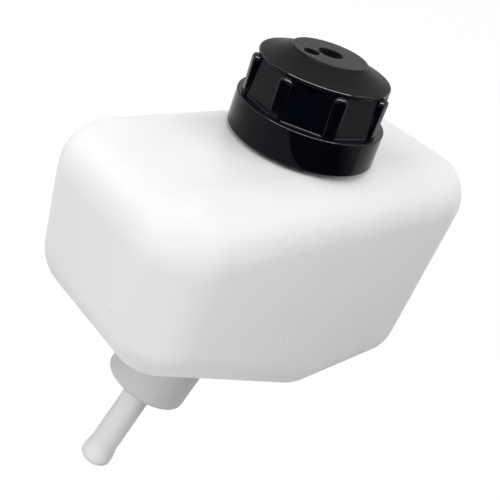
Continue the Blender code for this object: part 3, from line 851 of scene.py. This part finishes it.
@dataclass
class ScrewCap(Piece):
    """The screw cap: a skirt, a grip with eight ribs, a hollow-sided cone and a vented flat top."""

    bore: float = 20.7 * MM
    seat: float = 24.9 * MM
    seat_inner: float = 19.1 * MM
    seat_edge: float = 0.2 * MM
    foot: float = 1.2 * MM
    skirt_rim: float = 12.6 * MM
    skirt_foot_radius: float = 26.0 * MM
    skirt_rim_radius: float = 25.65 * MM
    skirt_wall: float = 2.3 * MM
    skirt_edge: float = 0.45 * MM
    grip_top_radius: float = 22.2 * MM
    grip_foot_radius: float = 23.2 * MM
    grip_root: float = 0.45 * MM  # fillet between the panels and the skirt's ledge
    panel_flat: float = 1.0 * MM  # how far the middle of a panel lies inside the grip's round
    crown: float = 26.55 * MM
    crown_radius: float = 22.45 * MM
    crown_edge: float = 0.9 * MM
    crown_undercut: float = math.radians(30)
    crown_steps: int = 14
    crown_polish: float = 0.8  # share of the crown's edge that is polished
    cone_head: float = 30.8 * MM
    cone_hollow: float = 0.3 * MM  # how far the cone's side bends in
    cone_steps: int = 12
    top: float = 31.5 * MM
    top_radius: float = 12.7 * MM
    top_flare: float = 0.35 * MM
    top_edge: float = 0.25 * MM
    top_foot: float = 0.2 * MM
    lit_top_depth: float = 0.1 * MM  # depth at the top's edge where its lighter black, painted light, begins
    roof: float = 29.3 * MM
    roof_root: float = 0.6 * MM
    vent: float = 4.2 * MM
    side_vent: float = 2.7 * MM
    side_vent_offset: float = 7.9 * MM
    side_vent_steps: int = 64
    vent_edge: float = 0.2 * MM
    ribs: int = 8
    rib_width: float = 4.8 * MM
    rib_crest: float = 24.2 * MM
    rib_head: float = 26.1 * MM
    rib_arch: float = 1.9 * MM  # rounding of a rib's head as it is seen from the front
    rib_rounding: float = 1.3 * MM  # rounding of its outer edges
    rib_segments: int = 8
    rib_sink: float = 1.0 * MM
    clocking: float = math.radians(171.0)
    thread_sink: float = 0.5 * MM
    thread_depth: float = 1.1 * MM
    polished: BlackPlastic = BlackPlastic("polished_black", (0.0004, 0.0005, 0.001), 0.06, 0.11)
    satin: BlackPlastic = BlackPlastic("satin_black", (0.0008, 0.0008, 0.0011), 0.46, 0.022, 0.04, 0.01 * MM)
    # Painted light: a lighter, shinier copy of the satin black, so that the flat top looks brighter where it
    # faces up.
    lit_top_black: BlackPlastic = BlackPlastic("top_black_painted_light", (0.0015, 0.0015, 0.0018), 0.46, 0.036, 0.06, 0.012 * MM)

    def cone(self) -> list[Point]:
        """The cone's side from the flat top's foot to the crown's edge, slightly hollow."""
        centre = Vector((self.crown_radius - self.crown_edge, self.crown))
        start = Vector((self.top_radius + self.top_flare, self.cone_head))
        lean = math.atan2(centre.x - self.top_radius, self.cone_head - self.crown - self.crown_edge)
        end = centre + self.crown_edge * Vector((math.cos(lean), math.sin(lean)))
        points = []
        for step in range(1, self.cone_steps):
            share = step / self.cone_steps
            place = start.lerp(end, share)
            sag = 4.0 * self.cone_hollow * share * (1.0 - share)
            points.append((place.x, place.y - sag))
        sweep = lean + self.crown_undercut
        for step in range(self.crown_steps + 1):
            angle = lean - sweep * step / self.crown_steps
            points.append((centre.x + self.crown_edge * math.cos(angle),
                           centre.y + self.crown_edge * math.sin(angle)))
        return points

    def section(self) -> list[Point]:
        """The whole section of the cap, from the vent out over the top, down and back inside."""
        skirt_bore = self.skirt_rim_radius - self.skirt_wall
        ledge = self.skirt_rim - self.skirt_wall
        top = rounded([
            (self.vent, self.roof), (self.vent, self.top, self.vent_edge),
            (self.top_radius, self.top, self.top_edge),
            (self.top_radius + self.top_flare, self.cone_head, self.top_foot),
            (self.top_radius + 2 * self.top_flare, self.cone_head - self.top_foot)])[:-1]
        outside = rounded([
            (self.grip_top_radius, self.crown - self.crown_edge),
            (self.grip_foot_radius, self.skirt_rim, self.grip_root),
            (self.skirt_rim_radius, self.skirt_rim, self.skirt_edge),
            (self.skirt_foot_radius, self.foot, self.skirt_edge),
            (skirt_bore, self.foot, self.skirt_edge), (skirt_bore, ledge, self.skirt_edge),
            (self.bore, ledge, self.skirt_edge), (self.bore, self.seat, self.seat_edge),
            (self.seat_inner, self.seat), (self.top_radius, self.roof, self.roof_root),
            (self.vent, self.roof)])
        return top + self.cone() + outside

    def flatten_panels(self, cap: Shape) -> None:
        """Draw the turned cap's grip in to a flat panel between each two places for ribs."""
        pitch = math.tau / self.ribs
        outermost = self.grip_foot_radius + self.grip_root + SPARE
        highest = self.crown - self.crown_edge / 2
        for vertex in cap.data.vertices:
            radius, height = vertex.co.xy.length, vertex.co.z
            on_grip = self.grip_top_radius - SPARE < radius < outermost
            if not on_grip or not self.skirt_rim - SPARE < height < highest:
                continue
            angle = (math.atan2(vertex.co.y, vertex.co.x) + pitch / 2) % pitch - pitch / 2
            drawn = min(1.0, (radius - self.panel_flat) / math.cos(angle) / radius)
            vertex.co.x *= drawn
            vertex.co.y *= drawn

    def rib_ring(self) -> Shape:
        """The grip's eight ribs, modelled once with rounded edges and copied round the cap."""
        root = self.grip_top_radius - self.rib_sink
        foot = self.skirt_rim - self.rib_sink
        middle = Vector(((root + self.rib_crest) / 2, 0.0, (foot + self.rib_head) / 2))
        rib = Bench.block("grip_rib", middle, (self.rib_crest - root, self.rib_width, self.rib_head - foot))
        Bench.round_edges(rib, lambda a, b: min(a.z, b.z) > middle.z and abs(a.y - b.y) < MERGE_DISTANCE,
                          self.rib_arch, self.rib_segments)
        Bench.round_edges(rib, lambda a, b: min(a.x, b.x) > middle.x and max(a.z, b.z) > middle.z,
                          self.rib_rounding, self.rib_segments)
        Bench.place(rib, Matrix.Rotation(math.pi / self.ribs, 4, "Z"))
        return Bench.ring_of_copies(rib, self.ribs)

    def side_drill(self) -> Shape:
        """A drill with a flared mouth for the smaller vent."""
        flare = self.side_vent + self.vent_edge
        drill = Bench.turned("side_drill", rounded([
            (0.0, self.roof - CUT_MARGIN), (self.side_vent, self.roof - CUT_MARGIN),
            (self.side_vent, self.top, self.vent_edge), (flare, self.top + MERGE_DISTANCE / 2),
            (flare, self.top + CUT_MARGIN), (0.0, self.top + CUT_MARGIN)]), steps=self.side_vent_steps)
        return Bench.place(drill, Matrix.Translation((self.side_vent_offset, 0.0, 0.0)))

    def thread(self) -> Thread:
        """The cap's thread, half a pitch off the neck's, set into the bore's wall."""
        return Thread(root=self.bore + self.thread_sink, crest=self.bore - self.thread_depth,
                      crest_width=0.9 * MM, turns=1.5, start=13.0 * MM)

    def build(self) -> Shape:
        """Model the cap and put it in its place, turned to where its thread stops."""
        cap = Bench.turned("cap_moulding", self.section())
        self.flatten_panels(cap)
        Bench.combine(cap, self.rib_ring(), Join.ADD)
        Bench.combine(cap, self.side_drill(), Join.CUT)
        Bench.place(cap, Matrix.Rotation(self.clocking, 4, "Z"))
        Bench.combine(cap, self.thread().build("cap_thread"), Join.ADD)
        self.dress(cap, "screw_cap", Body.CAP, "cap_plastic", self.polished, self.satin, self.lit_top_black)
        # The flat top takes the lighter copy of the black, whose extra brightness is painted light.
        satin_from = self.neck.z + self.crown + self.crown_polish * self.crown_edge
        lit_top_from = self.neck.z + self.top - self.lit_top_depth
        for face in cap.data.polygons:
            if face.center.z > satin_from:
                face.material_index = 2 if face.center.z > lit_top_from else 1
        return cap


# Studio

@dataclass(frozen=True)
class SoftLamp:
    """A rectangular lamp that points at the object."""

    name: str
    azimuth: float  # degrees from +X towards +Y
    elevation: float  # degrees
    distance: float
    width: float
    height: float
    power: float  # watts
    lights: str = ""  # the one piece that it lights, or all of them
    mirrored: bool = True  # whether reflections show it

    def build(self, aim: Vector) -> None:
        """Hang the lamp so that it looks at a point."""
        turn, rise = math.radians(self.azimuth), math.radians(self.elevation)
        towards = Vector((math.cos(turn) * math.cos(rise), math.sin(turn) * math.cos(rise), math.sin(rise)))
        data = bpy.data.lights.new(self.name, "AREA")
        data.shape = "RECTANGLE"
        data.size = self.width
        data.size_y = self.height
        data.energy = self.power
        lamp = bpy.data.objects.new(self.name, data)
        bpy.context.collection.objects.link(lamp)
        lamp.location = aim + self.distance * towards
        lamp.rotation_euler = towards.to_track_quat("Z", "Y").to_euler()
        lamp.visible_camera = False
        lamp.visible_glossy = self.mirrored
        if self.lights:
            alone = bpy.data.collections.new(self.name + "_receiver")
            alone.objects.link(bpy.data.objects[self.lights])
            lamp.light_linking.receiver_collection = alone


@dataclass(frozen=True)
class Viewpoint:
    """The photograph's camera, placed from the point where the cap's foot crosses the neck's axis."""

    azimuth: float = math.radians(-50.98)
    elevation: float = math.radians(31.45)
    roll: float = math.radians(19.45)
    focal_pixels: float = 720.0
    image_pixels: float = 500.0
    sensor: float = 36.0  # width in millimetres
    nearest: float = 10.0 * MM
    right: float = 17.18 * MM
    down: float = -38.48 * MM
    ahead: float = 245.8 * MM

    def build(self, mark: Vector) -> None:
        """Place the scene's camera by a mark that right, down and ahead are measured to."""
        flat, steep = math.cos(self.elevation), math.sin(self.elevation)
        look = Vector((-math.sin(self.azimuth) * flat, math.cos(self.azimuth) * flat, -steep))
        level = Vector((math.cos(self.azimuth), math.sin(self.azimuth), 0.0))
        plumb = look.cross(level)
        across = math.cos(self.roll) * level - math.sin(self.roll) * plumb
        below = math.sin(self.roll) * level + math.cos(self.roll) * plumb
        data = bpy.data.cameras.new("photo_camera")
        data.sensor_width = self.sensor
        data.lens = self.sensor * self.focal_pixels / self.image_pixels
        data.clip_start = self.nearest
        camera = bpy.data.objects.new("photo_camera", data)
        bpy.context.collection.objects.link(camera)
        turn = Matrix((across, -below, -look)).transposed()
        place = mark - self.right * across - self.down * below - self.ahead * look
        camera.matrix_world = Matrix.Translation(place) @ turn.to_4x4()
        bpy.context.scene.camera = camera


@dataclass
class Studio:
    """Plain white surroundings: floor, lamps, world and camera."""

    neck: Vector
    floor_drop: float = 90.0 * MM  # spigot's tip down to the floor
    floor_size: float = 12.0
    floor_glow: float = 0.99  # how bright it looks by itself
    floor_colour: float = 0.06  # how much of the lamps' light it gives back
    card_size: float = 1.6
    card_near: float = 60.0 * MM  # its near edge, in front of the neck's axis
    card_fade: float = 0.3  # how far in from its right edge it fades
    card_azimuth: float = math.radians(232.0)
    lamps: tuple[SoftLamp, ...] = (
        SoftLamp("top_lamp", 0.0, 80.0, 1.0, 1.2, 1.2, 5.5),
        SoftLamp("back_lamp", 120.0, 25.0, 0.3, 0.2, 0.2, 0.15),
        SoftLamp("left_lamp", 150.0, 40.0, 0.5, 0.4, 0.4, 1.22),
        SoftLamp("low_lamp", 180.0, -25.0, 0.4, 0.3, 0.3, 0.48, mirrored=False),
        SoftLamp("front_lamp", 225.0, 0.0, 0.3, 0.2, 0.2, 0.44, mirrored=False),
        SoftLamp("right_lamp", 300.0, 40.0, 0.4, 0.3, 0.3, 0.72),
        SoftLamp("spark_lamp", 214.0, 74.0, 0.6, 0.06, 0.06, 0.3),
        SoftLamp("cap_strip", 219.0, 62.0, 0.6, 1.0, 0.12, 26.0, "cap_moulding"))

    @staticmethod
    def lay_sheet(name: str, size: float, middle: Vector, turn: float, graph: Graph) -> Shape:
        """Lay a level square sheet, turned about Z, which is no part of the object."""
        bpy.ops.mesh.primitive_plane_add(size=size, location=middle, rotation=(0.0, 0.0, turn))
        sheet = Bench.named(name)
        sheet.data.materials.append(graph.material)
        sheet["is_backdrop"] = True
        return sheet

    def floor_paper(self) -> Graph:
        """White paper that shows as white where nothing shades it, and keeps a soft shadow."""
        graph = Graph("white_floor")
        graph.set(Base_Color=(self.floor_colour,) * 3 + (1.0,), Roughness=1.0, Specular_IOR_Level=0.0,
                  Emission_Color=WHITE)
        graph.drive("Emission Strength", graph.math("MULTIPLY", graph.seen_directly(), self.floor_glow))
        return graph

    def card_paper(self) -> Graph:
        """Dead black that fades out towards the card's right edge, so that the dark reflection it paints
        fades there too.
        """
        graph = Graph("dark_card")
        graph.set(Base_Color=BLACK, Specular_IOR_Level=0.0)
        place = graph.add("ShaderNodeSeparateXYZ")
        graph.link(graph.place, place.inputs["Vector"])
        edge = self.card_size / 2
        fade = graph.ramp(place.outputs["Y"], edge - self.card_fade, edge, 1.0, 0.0, smooth=True)
        graph.drive("Alpha", fade)
        return graph

    def lay_card(self, height: float) -> None:
        """Lay a dark card in front of the object, where only reflections see it: it paints dark reflections
        into the cap's gloss, and casts no shadow and blocks no light.
        """
        reach = self.card_near + self.card_size / 2
        ahead = Vector((math.cos(self.card_azimuth), math.sin(self.card_azimuth), 0.0))
        middle = Vector((self.neck.x, self.neck.y, height)) + reach * ahead
        card = self.lay_sheet("dark_card", self.card_size, middle, self.card_azimuth, self.card_paper())
        for ray in ("camera", "diffuse", "transmission", "volume_scatter", "shadow"):
            setattr(card, "visible_" + ray, False)

    @staticmethod
    def build_world() -> None:
        """A world that is white to look at and gives no light of its own."""
        world = bpy.data.worlds.new("studio_world")
        world.use_nodes = True
        nodes = Nodes(world.node_tree)
        background = nodes.tree.nodes["Background"]
        background.inputs["Color"].default_value = WHITE
        nodes.link(nodes.seen_directly(), background.inputs["Strength"])
        bpy.context.scene.world = world

    def build(self) -> None:
        """Set up the floor, the world, the lamps and the camera."""
        low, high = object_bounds()
        level = low[2] - self.floor_drop
        self.lay_sheet("studio_floor", self.floor_size, Vector((0.0, 0.0, level)), 0.0, self.floor_paper())
        self.lay_card(level + MM)
        self.build_world()
        for lamp in self.lamps:
            lamp.build(Vector((0.0, 0.0, (low[2] + high[2]) / 2)))
        Viewpoint().build(Vector((*self.neck.xy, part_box("screw_cap")[0].z)))
        bpy.context.scene.view_settings.view_transform = "Standard"


def neck_point() -> Vector:
    """Where the neck's axis crosses the tank's top face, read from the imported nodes."""
    low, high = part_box("slip_plate")
    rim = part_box("reservoir_tank")[1].z
    return Vector(((low.x + high.x) / 2, (low.y + high.y) / 2, rim - NECK_HEIGHT))


def main() -> None:
    """Model and dress every piece, then the studio."""
    logging.basicConfig(level=logging.INFO, format="%(name)s: %(message)s")
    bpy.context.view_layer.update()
    neck = neck_point()
    for kind in (Tank, Strainer, Bellows, SlipPlate, ScrewCap):
        piece = kind(neck).build()
        LOG.info("%s has %d faces and stands for its packed node", piece.name, len(piece.data.polygons))
    Studio(neck).build()


if __name__ == "__main__":
    main()
